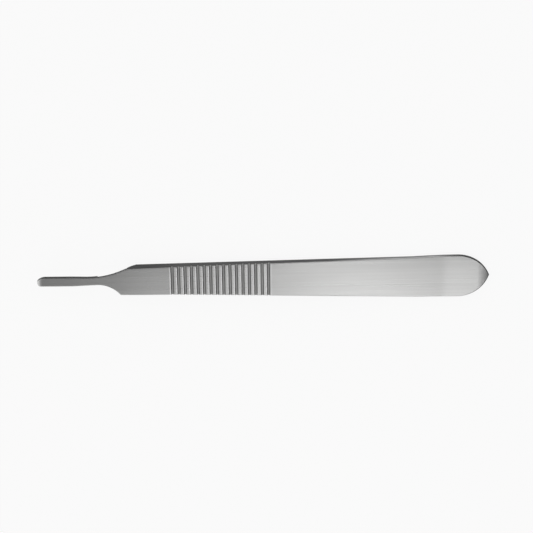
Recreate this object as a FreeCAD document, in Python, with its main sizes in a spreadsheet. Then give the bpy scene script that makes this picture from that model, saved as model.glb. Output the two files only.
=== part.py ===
"""A surgical scalpel handle, forged and milled from one piece of stainless steel.

X runs along the handle, from the blade fitting at -X to the pointed tail at +X. The handle lies on the
face that carries the blade fitting, so that face is at Z = 0 and the plain back looks up along +Z. The
origin is on the handle's axis, halfway along its length, on the surface that the handle lies on.
"""
import FreeCAD, Part
import math
import os

import Sketcher

NODE = "scalpel_handle"
UP = 1
DOWN = -1
MOSTLY = 0.8
TOLERANCE = 1e-4
SIZE_OF = {"Fillet": "Radius", "Chamfer": "Size"}

# Driving sizes in millimetres, with one angle in degrees and one count. A size named ..._place is a
# distance along the axis from the tip of the blade fitting, and ..._to_point one from the tail's point.
SIZES = [
    ("overall_length", 125.0),
    ("front_width", 7.75),
    ("hollow_width", 8.04),
    ("swell_width", 11.6),
    ("swell_offset", 0.175),
    ("widest_width", 12.05),
    ("point_offset", 0.25),
    ("body_thickness", 3.6),
    ("tail_thickness", 1.25),
    ("point_thickness", 0.65),
    ("taper_start_place", 27.0),
    ("swell_to_point", 21.0),
    ("tail_crease_to_point", 12.3),
    ("widest_to_point", 8.7),
    ("roll_off_to_point", 3.0),
    ("tang_width", 2.4),
    ("tang_tip_flat", 0.65),
    ("upper_tip_easing", 2.2),
    ("lower_tip_easing", 0.9),
    ("tip_roll_off_place", 1.2),
    ("tip_roll_off_drop", 0.4),
    ("waist_width", 2.0),
    ("waist_offset", 0.12),
    ("upper_waist_place", 13.8),
    ("lower_waist_place", 16.7),
    ("upper_corner_place", 25.0),
    ("lower_corner_place", 22.9),
    ("hollow_place", 38.0),
    ("upper_corner_radius", 6.0),
    ("lower_corner_radius", 0.6),
    ("nose_thickness", 1.7),
    ("seat_thickness", 0.95),
    ("rail_end_place", 16.6),
    ("blade_groove_end_place", 9.8),
    ("blade_groove_height", 0.45),
    ("blade_groove_depth", 0.5),
    ("shoulder_place", 23.0),
    ("shoulder_angle", 27.0),
    ("shoulder_bevel", 2.2),
    ("grip_start_place", 37.3),
    ("grip_groove_count", 16),
    ("grip_groove_pitch", 1.772),
    ("grip_groove_width", 0.8),
    ("grip_groove_floor", 0.38),
    ("back_groove_depth", 0.5),
    ("resting_groove_depth", 0.15),
    ("grip_edge_break", 0.08),
    ("long_edge_radius", 0.25),
    ("rail_edge_bevel", 0.12),
]

# Places that follow from the driving sizes. Each formula may use the ones above it.
PLACES = [
    # The datum is the axis in plan, the resting face in side view and the surface in a grip groove.
    ("datum", "=0"),
    ("tip_x", "=-Sizes.overall_length / 2"),
    ("tail_x", "=Sizes.overall_length / 2"),
    ("clear_of_tip_x", "=tip_x - Sizes.widest_width"),
    ("clear_of_tail_x", "=tail_x + Sizes.widest_width"),
    ("clear_side", "=Sizes.widest_width"),
    ("upper_easing_x", "=tip_x + Sizes.upper_tip_easing"),
    ("lower_easing_x", "=tip_x + Sizes.lower_tip_easing"),
    ("tang_side", "=Sizes.tang_width / 2"),
    ("tang_front", "=Sizes.tang_tip_flat / 2"),
    ("upper_waist_side", "=Sizes.waist_width / 2 + Sizes.waist_offset"),
    ("lower_waist_side", "=Sizes.waist_width / 2 - Sizes.waist_offset"),
    ("upper_waist_x", "=tip_x + Sizes.upper_waist_place"),
    ("lower_waist_x", "=tip_x + Sizes.lower_waist_place"),
    ("upper_corner_x", "=tip_x + Sizes.upper_corner_place"),
    ("lower_corner_x", "=tip_x + Sizes.lower_corner_place"),
    ("front_side", "=Sizes.front_width / 2"),
    ("hollow_x", "=tip_x + Sizes.hollow_place"),
    ("hollow_side", "=Sizes.hollow_width / 2"),
    ("swell_x", "=tail_x - Sizes.swell_to_point"),
    ("upper_swell_side", "=Sizes.swell_width / 2 - Sizes.swell_offset"),
    ("lower_swell_side", "=Sizes.swell_width / 2 + Sizes.swell_offset"),
    ("widest_x", "=tail_x - Sizes.widest_to_point"),
    ("widest_side", "=Sizes.widest_width / 2"),
    ("point_side", "=Sizes.point_offset"),
    ("taper_start_x", "=tip_x + Sizes.taper_start_place"),
    ("tail_crease_x", "=tail_x - Sizes.tail_crease_to_point"),
    ("roll_off_x", "=tail_x - Sizes.roll_off_to_point"),
    ("back_z", "=Sizes.body_thickness"),
    ("clear_of_back_z", "=2 * back_z"),
    ("tip_roll_off_x", "=tip_x + Sizes.tip_roll_off_place"),
    ("tip_top_z", "=back_z - Sizes.tip_roll_off_drop"),
    ("tail_back_z", "=Sizes.tail_thickness"),
    ("point_top_z", "=(tail_back_z + Sizes.point_thickness) / 2"),
    ("point_bottom_z", "=(tail_back_z - Sizes.point_thickness) / 2"),
    ("taper_angle", "=atan((back_z - tail_back_z) / (tail_crease_x - taper_start_x))"),
    ("rail_z", "=back_z - Sizes.nose_thickness"),
    ("seat_z", "=back_z - Sizes.seat_thickness"),
    ("blade_groove_z", "=seat_z - Sizes.blade_groove_height"),
    ("blade_groove_end_x", "=tip_x + Sizes.blade_groove_end_place"),
    ("stem_side", "=tang_side - Sizes.blade_groove_depth"),
    ("rail_end_x", "=tip_x + Sizes.rail_end_place"),
    ("shoulder_x", "=tip_x + Sizes.shoulder_place"),
    ("shoulder_lean", "=clear_side * tan(Sizes.shoulder_angle)"),
    ("shoulder_upper_x", "=shoulder_x + shoulder_lean"),
    ("shoulder_lower_x", "=shoulder_x - shoulder_lean"),
    ("grip_start", "=(Sizes.grip_start_place - Sizes.taper_start_place) / cos(taper_angle)"),
    ("grip_length", "=Sizes.grip_groove_pitch * (Sizes.grip_groove_count - 1)"),
    ("wall_left", "=grip_start - Sizes.grip_groove_width / 2"),
    ("wall_right", "=grip_start + Sizes.grip_groove_width / 2"),
    ("mouth_left", "=wall_left - Sizes.grip_edge_break"),
    ("mouth_right", "=wall_right + Sizes.grip_edge_break"),
    ("floor_left", "=grip_start - Sizes.grip_groove_floor / 2"),
    ("floor_right", "=grip_start + Sizes.grip_groove_floor / 2"),
    ("groove_clear", "=Sizes.back_groove_depth"),
    ("back_groove_floor", "=-Sizes.back_groove_depth"),
    ("resting_groove_floor", "=Sizes.resting_groove_depth"),
    ("groove_break", "=-Sizes.grip_edge_break"),
]

doc = FreeCAD.newDocument("ScalpelHandle")


def fill_sheet(name, rows):
    """Write one row for each value: its name, and the value in a cell with that name as its alias."""
    sheet = doc.addObject("Spreadsheet::Sheet", name)
    for row, (alias, value) in enumerate(rows, start=1):
        sheet.set(f"A{row}", alias)
        sheet.set(f"B{row}", str(value))
        sheet.setAlias(f"B{row}", alias)
    doc.recompute()
    return sheet


fill_sheet("Sizes", SIZES)
places = fill_sheet("Places", PLACES)

body = doc.addObject("PartDesign::Body", "Handle")
body.Label = NODE


def value_at(place):
    """The present value of a place. A minus sign before its name mirrors it."""
    value = float(places.get(place.lstrip("-")))
    return -value if place.startswith("-") else value


def formula_of(place):
    """The formula that binds a size to a place, or to a mirrored one."""
    return f"-Places.{place[1:]}" if place.startswith("-") else f"Places.{place}"


def sketch_on(plane_role, name):
    """An empty sketch on one of the body's own origin planes."""
    sketch = body.newObject("Sketcher::SketchObject", name)
    planes = [plane for plane in body.Origin.OriginFeatures if plane.Role == plane_role]
    sketch.AttachmentSupport = [(planes[0], "")]
    sketch.MapMode = "FlatFace"
    return sketch


def level_arc(start, end, level):
    """The arc from start to end whose tangent is level, along the sketch's X, at one of the two."""
    other = start if level is end else end
    across = other.x - level.x
    rise = other.y - level.y
    radius = (across ** 2 + rise ** 2) / (2 * abs(rise))
    centre = FreeCAD.Vector(level.x, level.y + math.copysign(radius, rise), 0)
    halfway = (start + end) * 0.5 - centre
    return Part.Arc(start, centre + halfway * (radius / halfway.Length), end)


def draw_loop(sketch, corners):
    """Close a loop through corners given as (x place, y place, way from the corner before).

    The way is a line, or an arc that is level where it starts or where it ends. Every corner is held by
    two distances from the origin, bound to the places, so the loop has no freedom left.
    """
    points = [FreeCAD.Vector(value_at(x), value_at(y), 0) for x, y, way in corners]
    first = sketch.GeometryCount
    for index, (x, y, way) in enumerate(corners):
        start = points[index - 1]
        end = points[index]
        if way == "line":
            sketch.addGeometry(Part.LineSegment(start, end), False)
        else:
            sketch.addGeometry(level_arc(start, end, start if way == "level start" else end), False)

    def end_at(edge, point):
        """1 or 2: which end of a drawn edge lies on the point."""
        gaps = [(sketch.getPoint(edge, number) - point).Length for number in (1, 2)]
        return 1 + gaps.index(min(gaps))

    for index, (x, y, way) in enumerate(corners):
        edge = first + index
        following = first + (index + 1) % len(corners)
        here = end_at(edge, points[index])
        sketch.addConstraint(Sketcher.Constraint(
            "Coincident", edge, here, following, end_at(following, points[index])))
        for kind, place in (("DistanceX", x), ("DistanceY", y)):
            held = sketch.addConstraint(Sketcher.Constraint(kind, -1, 1, edge, here, value_at(place)))
            sketch.setExpression(f"Constraints[{held}]", formula_of(place))
        if way != "line":
            level = points[index - 1] if way == "level start" else points[index]
            sketch.addConstraint(Sketcher.Constraint("Vertical", edge, 3, edge, end_at(edge, level)))


def cut_up(name, sketch, height):
    """Cut away what stands over a sketch, up to a named height above it."""
    cut = body.newObject("PartDesign::Pocket", name)
    cut.Profile = sketch
    cut.Reversed = True
    cut.setExpression("Length", height)
    doc.recompute()
    return cut


def cut_across(name, sketch):
    """Cut a side profile away right across the handle."""
    cut = body.newObject("PartDesign::Pocket", name)
    cut.Profile = sketch
    cut.Type = "ThroughAll"
    cut.SideType = "Symmetric"
    doc.recompute()
    return cut


def edges_that(feature, test):
    """The names of the edges of a feature's shape that pass a test."""
    return [f"Edge{number}" for number, edge in enumerate(feature.Shape.Edges, start=1) if test(edge)]


def dress(kind, name, feature, edges, value):
    """Round or bevel the named edges of a feature, by a fillet or chamfer bound to a driving value."""
    dressed = body.newObject(f"PartDesign::{kind}", name)
    dressed.Base = (feature, edges)
    dressed.setExpression(SIZE_OF[kind], value)
    doc.recompute()
    return dressed


def round_corner(name, feature, x, y, radius):
    """Round the upright edge over one corner of the plan."""
    def stands_there(edge):
        return all(math.hypot(vertex.X - value_at(x), vertex.Y - value_at(y)) < TOLERANCE
                   for vertex in edge.Vertexes)
    return dress("Fillet", name, feature, edges_that(feature, stands_there), radius)


def dress_outline(kind, name, feature, way, lowest, highest, value):
    """Dress the outline of the faces that look up or down with their centre between two heights."""
    faces = []
    for face in feature.Shape.Faces:
        low_u, high_u, low_v, high_v = face.ParameterRange
        normal = face.normalAt((low_u + high_u) / 2, (low_v + high_v) / 2)
        if normal.z * way > MOSTLY and lowest - TOLERANCE < face.CenterOfMass.z < highest:
            faces.append(face)

    def is_outline(edge):
        return sum(any(edge.isSame(other) for other in face.Edges) for face in faces) == 1
    return dress(kind, name, feature, edges_that(feature, is_outline), value)


# The plan: a narrow tang with a rounded tip, a waist, two unlike flares, long sides that widen towards
# the tail, the lower one a little hollow in front of the grip, and a spear-shaped point.
plan = sketch_on("XY_Plane", "Plan")
draw_loop(plan, [
    ("tip_x", "tang_front", "line"),
    ("upper_easing_x", "tang_side", "level end"),
    ("blade_groove_end_x", "tang_side", "line"),
    ("upper_waist_x", "upper_waist_side", "line"),
    ("upper_corner_x", "front_side", "level start"),
    ("swell_x", "upper_swell_side", "line"),
    ("widest_x", "widest_side", "level end"),
    ("tail_x", "point_side", "level start"),
    ("widest_x", "-widest_side", "level end"),
    ("swell_x", "-lower_swell_side", "level start"),
    ("hollow_x", "-hollow_side", "line"),
    ("lower_corner_x", "-front_side", "line"),
    ("lower_waist_x", "-lower_waist_side", "level end"),
    ("blade_groove_end_x", "-tang_side", "line"),
    ("lower_easing_x", "-tang_side", "line"),
    ("tip_x", "-tang_front", "level start"),
])
blank = body.newObject("PartDesign::Pad", "Blank")
blank.Profile = plan
blank.setExpression("Length", "Places.back_z")
doc.recompute()

# The side view: the back rolls off at the tip of the tang, and slopes down from the front of the body to a
# crease near the tail. Both faces roll off to the point.
tip_profile = sketch_on("XZ_Plane", "TipProfile")
draw_loop(tip_profile, [
    ("tip_x", "tip_top_z", "line"),
    ("tip_roll_off_x", "back_z", "level end"),
    ("tip_roll_off_x", "clear_of_back_z", "line"),
    ("clear_of_tip_x", "clear_of_back_z", "line"),
    ("clear_of_tip_x", "tip_top_z", "line"),
])
cut_across("TipRollOff", tip_profile)

back_profile = sketch_on("XZ_Plane", "BackProfile")
draw_loop(back_profile, [
    ("taper_start_x", "back_z", "line"),
    ("tail_crease_x", "tail_back_z", "line"),
    ("roll_off_x", "tail_back_z", "line"),
    ("tail_x", "point_top_z", "level start"),
    ("clear_of_tail_x", "point_top_z", "line"),
    ("clear_of_tail_x", "clear_of_back_z", "line"),
    ("taper_start_x", "clear_of_back_z", "line"),
])
cut_across("BackTaper", back_profile)

point_profile = sketch_on("XZ_Plane", "PointProfile")
draw_loop(point_profile, [
    ("roll_off_x", "datum", "line"),
    ("tail_x", "point_bottom_z", "level start"),
    ("clear_of_tail_x", "point_bottom_z", "line"),
    ("clear_of_tail_x", "-back_z", "line"),
    ("roll_off_x", "-back_z", "line"),
])
cut_across("PointRollOff", point_profile)

# The blade fitting, cut into the face that the handle lies on. In front of the diagonal shoulder the
# handle is thinned to the nose, and behind the rail it is thinned again to the seat for the blade's heel.
nose_region = sketch_on("XY_Plane", "NoseRegion")
draw_loop(nose_region, [
    ("clear_of_tip_x", "clear_side", "line"),
    ("shoulder_upper_x", "clear_side", "line"),
    ("shoulder_lower_x", "-clear_side", "line"),
    ("clear_of_tip_x", "-clear_side", "line"),
])
cut_up("Nose", nose_region, "Places.rail_z")

seat_region = sketch_on("XY_Plane", "SeatRegion")
draw_loop(seat_region, [
    ("rail_end_x", "clear_side", "line"),
    ("shoulder_upper_x", "clear_side", "line"),
    ("shoulder_lower_x", "-clear_side", "line"),
    ("rail_end_x", "-clear_side", "line"),
])
seat = cut_up("BladeSeat", seat_region, "Places.seat_z")


def lies_on_shoulder(edge):
    """Whether an edge of the resting face runs along the diagonal shoulder."""
    slope = value_at("shoulder_lean") / value_at("clear_side")
    return all(abs(vertex.Z) < TOLERANCE
               and abs(vertex.X - value_at("shoulder_x") - vertex.Y * slope) < TOLERANCE
               for vertex in edge.Vertexes)


bevel = dress("Chamfer", "ShoulderBevel", seat, edges_that(seat, lies_on_shoulder), "Sizes.shoulder_bevel")

# The two corners where the flares meet the body, a soft one and a crisp one.
upper = round_corner("UpperCorner", bevel, "upper_corner_x", "front_side", "Sizes.upper_corner_radius")
lower = round_corner("LowerCorner", upper, "lower_corner_x", "-front_side", "Sizes.lower_corner_radius")

# The polished edges round the back and round the face that the handle lies on, and the broken edge round
# the rail.
back = dress_outline("Fillet", "BackRounding", lower, UP, value_at("datum"), value_at("clear_of_back_z"),
                     "Sizes.long_edge_radius")
resting = dress_outline("Fillet", "RestingRounding", back, DOWN, value_at("datum"),
                        value_at("point_bottom_z"), "Sizes.long_edge_radius")
dress_outline("Chamfer", "RailBevel", resting, DOWN, value_at("rail_z"), value_at("blade_groove_z"),
              "Sizes.rail_edge_bevel")

# The groove along each side of the rail, which the edges of the blade's slot slide in.
blade_grooves = sketch_on("XY_Plane", "BladeGroovesRegion")
blade_grooves.setExpression("AttachmentOffset.Base.z", "Places.blade_groove_z")
for side in ("", "-"):
    draw_loop(blade_grooves, [
        ("clear_of_tip_x", side + "stem_side", "line"),
        ("clear_of_tip_x", side + "clear_side", "line"),
        ("blade_groove_end_x", side + "clear_side", "line"),
        ("blade_groove_end_x", side + "stem_side", "line"),
    ])
cut_up("BladeGrooves", blade_grooves, "Sizes.blade_groove_height")


def grip_grooves(face, height, turn, floor, into):
    """The row of grooves across one face, from the groove nearest the front.

    The sketch lies along the face, and into is the sign that takes a depth into the metal.
    """
    region = sketch_on("XZ_Plane", f"{face}GrooveRegion")
    region.setExpression("AttachmentOffset.Base.x", "Places.taper_start_x")
    region.setExpression("AttachmentOffset.Base.y", height)
    region.setExpression("AttachmentOffset.Rotation.Angle", turn)
    draw_loop(region, [
        ("mouth_left", into + "groove_clear", "line"),
        ("mouth_left", "datum", "line"),
        ("wall_left", into + "groove_break", "line"),
        ("floor_left", floor, "line"),
        ("floor_right", floor, "line"),
        ("wall_right", into + "groove_break", "line"),
        ("mouth_right", "datum", "line"),
        ("mouth_right", into + "groove_clear", "line"),
    ])
    groove = cut_across(f"{face}Groove", region)
    row = body.newObject("PartDesign::LinearPattern", f"{face}GrooveRow")
    row.Originals = [groove]
    row.Direction = (region, ["H_Axis"])
    row.setExpression("Length", "Places.grip_length")
    row.setExpression("Occurrences", "Sizes.grip_groove_count")
    body.Tip = row
    doc.recompute()


# The grip: a row of cross grooves on the sloping back, and a shallower one under it on the face that the
# handle lies on.
grip_grooves("Back", "Places.back_z", "-Places.taper_angle", "back_groove_floor", "")
grip_grooves("Resting", "Places.datum", "Places.datum", "resting_groove_floor", "-")

# Every object is computed without an error, each cut takes metal away, and the result is one solid.
for item in doc.Objects:
    if "Invalid" in item.State or "Error" in item.State:
        raise RuntimeError(f"{item.Name} was not computed: {item.State}")
features = [item for item in doc.Objects if item.isDerivedFrom("PartDesign::Feature")]
for before, after in zip(features, features[1:]):
    if after.Shape.Volume >= before.Shape.Volume:
        raise RuntimeError(f"{after.Name} takes no metal away")
shape = body.Shape
if shape.isNull() or not shape.isValid() or len(shape.Solids) != 1:
    raise RuntimeError("the handle is not one valid solid")

os.makedirs("parts", exist_ok=True)
shape.exportStep(f"parts/{body.Label}.step")
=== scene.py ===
import math

import bpy
from mathutils import Matrix, Vector


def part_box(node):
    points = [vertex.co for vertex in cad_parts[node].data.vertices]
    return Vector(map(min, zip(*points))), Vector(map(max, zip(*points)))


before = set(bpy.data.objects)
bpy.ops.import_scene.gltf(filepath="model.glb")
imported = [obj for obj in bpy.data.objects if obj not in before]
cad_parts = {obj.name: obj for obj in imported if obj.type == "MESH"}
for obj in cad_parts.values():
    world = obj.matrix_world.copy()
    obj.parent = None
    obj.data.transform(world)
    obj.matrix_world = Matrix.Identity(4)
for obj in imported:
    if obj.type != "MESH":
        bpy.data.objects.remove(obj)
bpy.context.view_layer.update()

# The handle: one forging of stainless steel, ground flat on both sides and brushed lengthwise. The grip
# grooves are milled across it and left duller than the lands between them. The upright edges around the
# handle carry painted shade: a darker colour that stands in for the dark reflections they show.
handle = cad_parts["scalpel_handle"]
tip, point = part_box("scalpel_handle")

steel = bpy.data.materials.new("brushed_steel")
steel.use_nodes = True
nodes = steel.node_tree.nodes
links = steel.node_tree.links
skin = nodes["Principled BSDF"]
skin.inputs["Metallic"].default_value = 1.0
skin.inputs["Anisotropic"].default_value = 0.7


def join(source, target):
    """Feed a socket from another node's socket, or set it to a plain value."""
    if isinstance(source, bpy.types.NodeSocket):
        links.new(source, target)
    else:
        target.default_value = source


def math_node(operation, *values):
    node = nodes.new("ShaderNodeMath")
    node.operation = operation
    for socket, value in zip(node.inputs, values):
        join(value, socket)
    return node.outputs["Value"]


def step_up(value, low, high):
    """0 at low, 1 at high and smooth between them. Low may be the larger of the two."""
    node = nodes.new("ShaderNodeMapRange")
    node.interpolation_type = "SMOOTHSTEP"
    join(value, node.inputs["Value"])
    node.inputs["From Min"].default_value = low
    node.inputs["From Max"].default_value = high
    return node.outputs["Result"]


place = nodes.new("ShaderNodeTexCoord").outputs["Object"]
xyz = nodes.new("ShaderNodeSeparateXYZ")
links.new(place, xyz.inputs[0])
x, y, z = xyz.outputs
facing = nodes.new("ShaderNodeSeparateXYZ")
links.new(nodes.new("ShaderNodeNewGeometry").outputs["True Normal"], facing.inputs[0])
facing_along, facing_side, facing_up = (math_node("ABSOLUTE", part) for part in facing.outputs)

# How far a place is sunk below the sloping back or above the face that the handle lies on.
taper_start_x = tip.x + 0.027
tail_crease_x = point.x - 0.0123
taper_drop = 0.00235
taper_slope = taper_drop / (tail_crease_x - taper_start_x)
past_taper = math_node("MAXIMUM", math_node("SUBTRACT", x, taper_start_x), 0.0)
below_back = math_node("SUBTRACT", math_node("MULTIPLY_ADD", past_taper, -taper_slope, point.z), z)
sunk = math_node("MINIMUM", below_back, z)

# The painted edge shade reaches further over the rounded edge at the neck and just before the point than
# it does along the grip and the tail, where the edge is left brighter. Each stop is a place along the
# handle, from 0 at the tip to 1 at the point, and how far the painted shade reaches there.
edge_shade_stops = [(0.0, 0.3), (0.012, 0.92), (0.19, 0.92), (0.205, 1.0), (0.25, 1.0), (0.32, 0.85),
              (0.65, 0.85), (0.78, 0.25), (0.88, 0.25), (0.92, 0.95), (0.96, 1.0)]
edge_shade_ramp = nodes.new("ShaderNodeValToRGB")
join(math_node("DIVIDE", math_node("SUBTRACT", x, tip.x), point.x - tip.x), edge_shade_ramp.inputs["Fac"])
stops = edge_shade_ramp.color_ramp.elements
while len(stops) < len(edge_shade_stops):
    stops.new(1.0)
for stop, (where, reach) in zip(stops, edge_shade_stops):
    stop.position = where
    stop.color = (reach, reach, reach, 1)
edge_shade_reach = edge_shade_ramp.outputs["Color"]

# A face that looks straight up gets no painted shade. The painted edge shade begins where a face leans,
# and sooner by its reach and around the point, on the faces there that turn along the handle.
reach_weight = 0.5
point_weight = 1.3
bright, dark = 0.40, 0.10
around_point = math_node("MULTIPLY", facing_along, step_up(x, point.x - 0.011, point.x - 0.007))
looks_up = math_node("MULTIPLY_ADD", around_point, -point_weight, facing_up)
painted_edge_shade_mask = step_up(math_node("MULTIPLY_ADD", edge_shade_reach, -reach_weight, looks_up), bright, dark)

# The grooves repeat along the handle: one turn is one pitch, and its half is the middle of a groove.
first_groove_x = tip.x + 0.0373
groove_pitch = 0.001772 * math.cos(math.atan(taper_slope))
groove_count = 16.0
groove_mouth = 0.00096
groove_floor = 0.00038
edge_break = 0.00008
turn = math_node("DIVIDE", math_node("SUBTRACT", x, first_groove_x - groove_pitch / 2), groove_pitch)
from_middle = math_node("ABSOLUTE", math_node("SUBTRACT", math_node("FRACT", turn), 0.5))
in_mouth = math_node("LESS_THAN", from_middle, groove_mouth / 2 / groove_pitch)
in_row = math_node("MULTIPLY", math_node("GREATER_THAN", turn, 0.0),
                   math_node("LESS_THAN", turn, groove_count))
below_edge_break = step_up(sunk, edge_break, 1.5 * edge_break)
off_the_sides = step_up(facing_side, 0.6, 0.3)
in_groove = math_node("MULTIPLY", math_node("MULTIPLY", in_mouth, in_row),
                      math_node("MULTIPLY", below_edge_break, off_the_sides))
floor_edge = groove_floor / 2 / groove_pitch
on_floor = step_up(from_middle, 1.1 * floor_edge, 0.9 * floor_edge)


def streaks(vector, along, across, seed):
    """Noise drawn out along the handle. Along and across are how many marks a metre each way."""
    mapping = nodes.new("ShaderNodeMapping")
    mapping.inputs["Location"].default_value = (seed, seed, seed)
    mapping.inputs["Scale"].default_value = (along, across, across)
    links.new(vector, mapping.inputs["Vector"])
    noise = nodes.new("ShaderNodeTexNoise")
    noise.inputs["Scale"].default_value = 1.0
    noise.inputs["Detail"].default_value = 2.0
    links.new(mapping.outputs["Vector"], noise.inputs["Vector"])
    return noise.outputs["Fac"]


# Brush marks run straight along the handle, also down over its ends. Smears are left by wiping, and the
# milling cutter leaves short marks across the handle.
grain = nodes.new("ShaderNodeCombineXYZ")
join(x, grain.inputs["X"])
join(math_node("MULTIPLY_ADD", z, painted_edge_shade_mask, y), grain.inputs["Y"])
fine = streaks(grain.outputs["Vector"], along=12, across=6500, seed=0.0)
coarse = streaks(grain.outputs["Vector"], along=9, across=1500, seed=7.0)
smears = streaks(place, along=30, across=160, seed=3.0)
milling = streaks(place, along=900, across=250, seed=5.0)


def grey(level, warmth=0.005):
    return level, level, level - warmth, 1


def blend_colours(amount, low, high):
    node = nodes.new("ShaderNodeMix")
    node.data_type = "RGBA"
    join(amount, node.inputs[0])
    join(low, node.inputs[6])
    join(high, node.inputs[7])
    return node.outputs[2]


# The colour: polished and smeared, then scratched by the brush, rubbed brighter on the grip, with painted
# shade on the edges and duller grooves whose walls are partly painted shade.
scratch_share = 0.6
rub_share = 0.35
polished = blend_colours(smears, grey(0.59), grey(0.74))
brushed = blend_colours(math_node("MULTIPLY", coarse, scratch_share), polished, grey(0.49))
rubbed = blend_colours(math_node("MULTIPLY", in_row, rub_share), brushed, grey(0.84))
# Painted shade on the edges: where the mask is full, the colour goes from dark grey down to near black by
# the reach, in place of the dark reflections the upright edges show.
painted_edge_shade_colour = blend_colours(edge_shade_reach, grey(0.26, warmth=0.0), grey(0.035, warmth=0.0))
with_painted_edge_shade = blend_colours(painted_edge_shade_mask, rubbed, painted_edge_shade_colour)
milled_floor = blend_colours(milling, grey(0.44), grey(0.66))
# The groove walls get a flat darker grey. This is partly the duller milled finish and partly painted
# shade, where the walls fall into shadow.
groove_colour_with_wall_shade = blend_colours(on_floor, grey(0.46), milled_floor)
join(blend_colours(in_groove, with_painted_edge_shade, groove_colour_with_wall_shade), skin.inputs["Base Color"])


def blend_values(amount, low, high):
    node = nodes.new("ShaderNodeMix")
    join(amount, node.inputs[0])
    join(low, node.inputs[2])
    join(high, node.inputs[3])
    return node.outputs[0]


edge_roughness = 0.42
groove_roughness = 0.5
brushed_roughness = math_node("MULTIPLY_ADD", fine, 0.10, 0.24)
with_rough_edges = blend_values(painted_edge_shade_mask, brushed_roughness, edge_roughness)
join(blend_values(in_groove, with_rough_edges, groove_roughness), skin.inputs["Roughness"])

# The brushing lies along the handle, so light spreads across it.
across_grain = nodes.new("ShaderNodeVectorMath")
across_grain.operation = "CROSS_PRODUCT"
across_grain.inputs[1].default_value = (1, 0, 0)
links.new(nodes.new("ShaderNodeNewGeometry").outputs["Normal"], across_grain.inputs[0])
links.new(across_grain.outputs["Vector"], skin.inputs["Tangent"])


def closeness_squared(distance, reach):
    """The square of how far inside its reach a place is, in square metres, and 0 outside the reach."""
    inside = math_node("MAXIMUM", math_node("SUBTRACT", reach, distance), 0.0)
    return math_node("MULTIPLY", inside, inside)


def blended_crease(crease_x, bend, reach):
    """The height in metres that spreads a crease's bend, in radians, over its reach to each side."""
    away = math_node("ABSOLUTE", math_node("SUBTRACT", x, crease_x))
    return math_node("MULTIPLY", closeness_squared(away, reach), bend / (4 * reach))


# Grinding leaves the wide faces very slightly crowned, more so near their long edges, blends their
# creases and rolls the tip over. Brushing scores them by a few thousandths of a millimetre.
crown_middle = -1.2
crown_edges = -45000.0
y_squared = math_node("MULTIPLY", y, y)
crown = math_node("MULTIPLY", y_squared, math_node("MULTIPLY_ADD", y_squared, crown_edges, crown_middle))
creases = math_node("ADD", blended_crease(taper_start_x, -taper_slope, reach=0.005),
                    blended_crease(tail_crease_x, taper_slope, reach=0.0014))
tip_reach = 0.0022
tip_bend = 0.2
tip_roll = math_node("MULTIPLY", closeness_squared(math_node("SUBTRACT", x, tip.x), tip_reach),
                     -tip_bend / (2 * tip_reach))
fine_depth = 1.2e-6
coarse_depth = 2.0e-6
scoring = math_node("ADD", math_node("MULTIPLY", fine, fine_depth),
                    math_node("MULTIPLY", coarse, coarse_depth))
wide_relief = math_node("ADD", math_node("ADD", crown, creases), math_node("ADD", tip_roll, scoring))

# The milling cutter leaves a small slope on the land where it enters each groove.
lip_reach = 0.0002
lip_slope = 0.09
beside_groove = math_node("SUBTRACT", math_node("MULTIPLY", from_middle, groove_pitch), groove_mouth / 2)
on_lip = math_node("MAXIMUM", math_node("SUBTRACT", lip_reach, beside_groove), 0.0)
entering = math_node("LESS_THAN", math_node("FRACT", turn), 0.5)
lips = math_node("MULTIPLY", math_node("MULTIPLY", on_lip, entering),
                 math_node("MULTIPLY", in_row, -lip_slope))
bump = nodes.new("ShaderNodeBump")
bump.inputs["Strength"].default_value = 1.0
bump.inputs["Distance"].default_value = 1.0
links.new(math_node("ADD", wide_relief, lips), bump.inputs["Height"])
links.new(bump.outputs["Normal"], skin.inputs["Normal"])

handle.data.materials.clear()
handle.data.materials.append(steel)

# The table: a plain matt sheet of white paper, which the handle lies on. The camera and the steel see it
# nearly white, and it still takes the handle's shadow.
table_clearance = 0.00002
bpy.ops.mesh.primitive_plane_add(size=8)
table = bpy.context.object
table.name = "table"
table.location.z = tip.z - table_clearance
paper = bpy.data.materials.new("paper")
paper.use_nodes = True
paper_nodes = paper.node_tree.nodes
paper_links = paper.node_tree.links
matt = paper_nodes["Principled BSDF"]
matt.inputs["Base Color"].default_value = (0.98, 0.98, 0.98, 1)
matt.inputs["Roughness"].default_value = 0.9
matt.inputs["Specular IOR Level"].default_value = 0.0
white = paper_nodes.new("ShaderNodeEmission")
veil = paper_nodes.new("ShaderNodeMixShader")
veil_share = 0.9
rays = paper_nodes.new("ShaderNodeLightPath")
total = None
for ray in ("Is Camera Ray", "Is Glossy Ray", "Is Transmission Ray"):
    share = paper_nodes.new("ShaderNodeMath")
    share.operation = "MULTIPLY_ADD"
    share.use_clamp = True
    paper_links.new(rays.outputs[ray], share.inputs[0])
    share.inputs[1].default_value = veil_share
    share.inputs[2].default_value = 0.0
    if total:
        paper_links.new(total, share.inputs[2])
    total = share.outputs[0]
paper_links.new(total, veil.inputs[0])
paper_links.new(matt.outputs[0], veil.inputs[1])
paper_links.new(white.outputs[0], veil.inputs[2])
paper_links.new(veil.outputs[0], paper_nodes["Material Output"].inputs["Surface"])
table.data.materials.append(paper)


# The light: five softboxes in a row along the handle, above it and on the side away from the camera, so
# that the steel mirrors them in soft bright and grey bands along its length.
def softbox(name, centre, size, level):
    """A rectangular softbox that faces the handle. Level is its brightness, where 1 is white."""
    lamp = bpy.data.lights.new(name, "AREA")
    lamp.shape = "RECTANGLE"
    lamp.size, lamp.size_y = size
    lamp.energy = level * math.pi * size[0] * size[1]
    box = bpy.data.objects.new(name, lamp)
    bpy.context.scene.collection.objects.link(box)
    box.location = centre
    box.rotation_mode = "QUATERNION"
    box.rotation_quaternion = (-Vector(centre)).to_track_quat("-Z", "Y")


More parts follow.
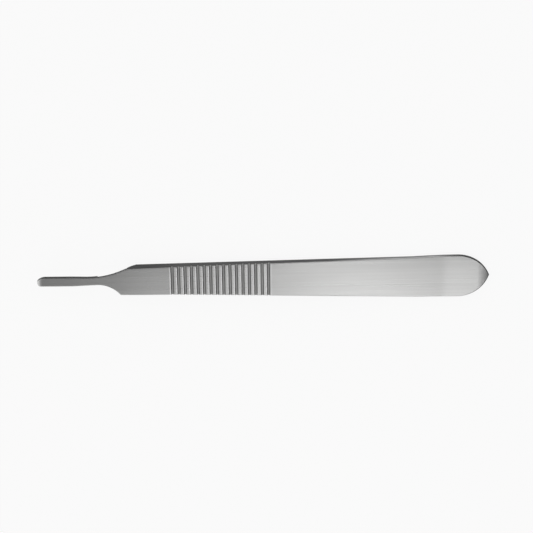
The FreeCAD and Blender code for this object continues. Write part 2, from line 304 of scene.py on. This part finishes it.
softbox("strip", (0.156, -0.45, 1.0), (0.09, 0.5), 1.83)
softbox("overhead", (0.065, -0.62, 1.0), (0.47, 0.7), 0.57)
softbox("left_wing", (-0.62, -0.5, 0.95), (0.68, 0.7), 0.25)
softbox("right_wing", (0.41, -0.5, 1.0), (0.22, 0.7), 0.55)
softbox("outer_wing", (0.62, -0.5, 0.95), (0.24, 0.7), 0.2)

# The room: its walls are pale all round and light every side of the handle. A dark canopy overhead, behind
# the softboxes, keeps the wide faces grey between the lamps.
wall_level = 0.95
canopy_level = 0.14
world = bpy.data.worlds.new("room")
world.use_nodes = True
room_nodes = world.node_tree.nodes
room_links = world.node_tree.links
direction = room_nodes.new("ShaderNodeTexCoord").outputs["Generated"]
towards_canopy = room_nodes.new("ShaderNodeVectorMath")
towards_canopy.operation = "DOT_PRODUCT"
towards_canopy.inputs[1].default_value = (0, -0.12, 0.993)
room_links.new(direction, towards_canopy.inputs[0])
canopy = room_nodes.new("ShaderNodeMapRange")
canopy.interpolation_type = "SMOOTHSTEP"
room_links.new(towards_canopy.outputs["Value"], canopy.inputs["Value"])
canopy.inputs["From Min"].default_value = 0.4
canopy.inputs["From Max"].default_value = 0.85
canopy.inputs["To Min"].default_value = wall_level
canopy.inputs["To Max"].default_value = canopy_level
background = room_nodes["Background"]
background.inputs["Color"].default_value = (1, 1, 1, 1)
room_links.new(canopy.outputs["Result"], background.inputs["Strength"])
bpy.context.scene.world = world
bpy.context.scene.view_settings.view_transform = "Standard"

# The camera: a long lens that looks down on the back, leaning 20 degrees to the upper side. It is rolled
# by half a degree, because the handle doesn't lie quite level in the picture.
lean = math.radians(20)
roll = math.radians(0.518)
stand_off = 0.4097
off_centre_right = 0.00077
off_centre_up = 0.00334
level_right = Vector((1, 0, 0))
level_up = Vector((0, math.cos(lean), -math.sin(lean)))
back = Vector((0, math.sin(lean), math.cos(lean)))
right = level_right * math.cos(roll) - level_up * math.sin(roll)
up = level_up * math.cos(roll) + level_right * math.sin(roll)
aim = (tip + point) / 2 + right * off_centre_right + up * off_centre_up
camera_data = bpy.data.cameras.new("camera")
camera_data.lens = 100
camera_data.sensor_width = 36
camera = bpy.data.objects.new("camera", camera_data)
bpy.context.scene.collection.objects.link(camera)
facing_aim = Matrix((right, up, back)).transposed().to_4x4()
camera.matrix_world = Matrix.Translation(aim + back * stand_off) @ facing_aim
bpy.context.scene.camera = camera
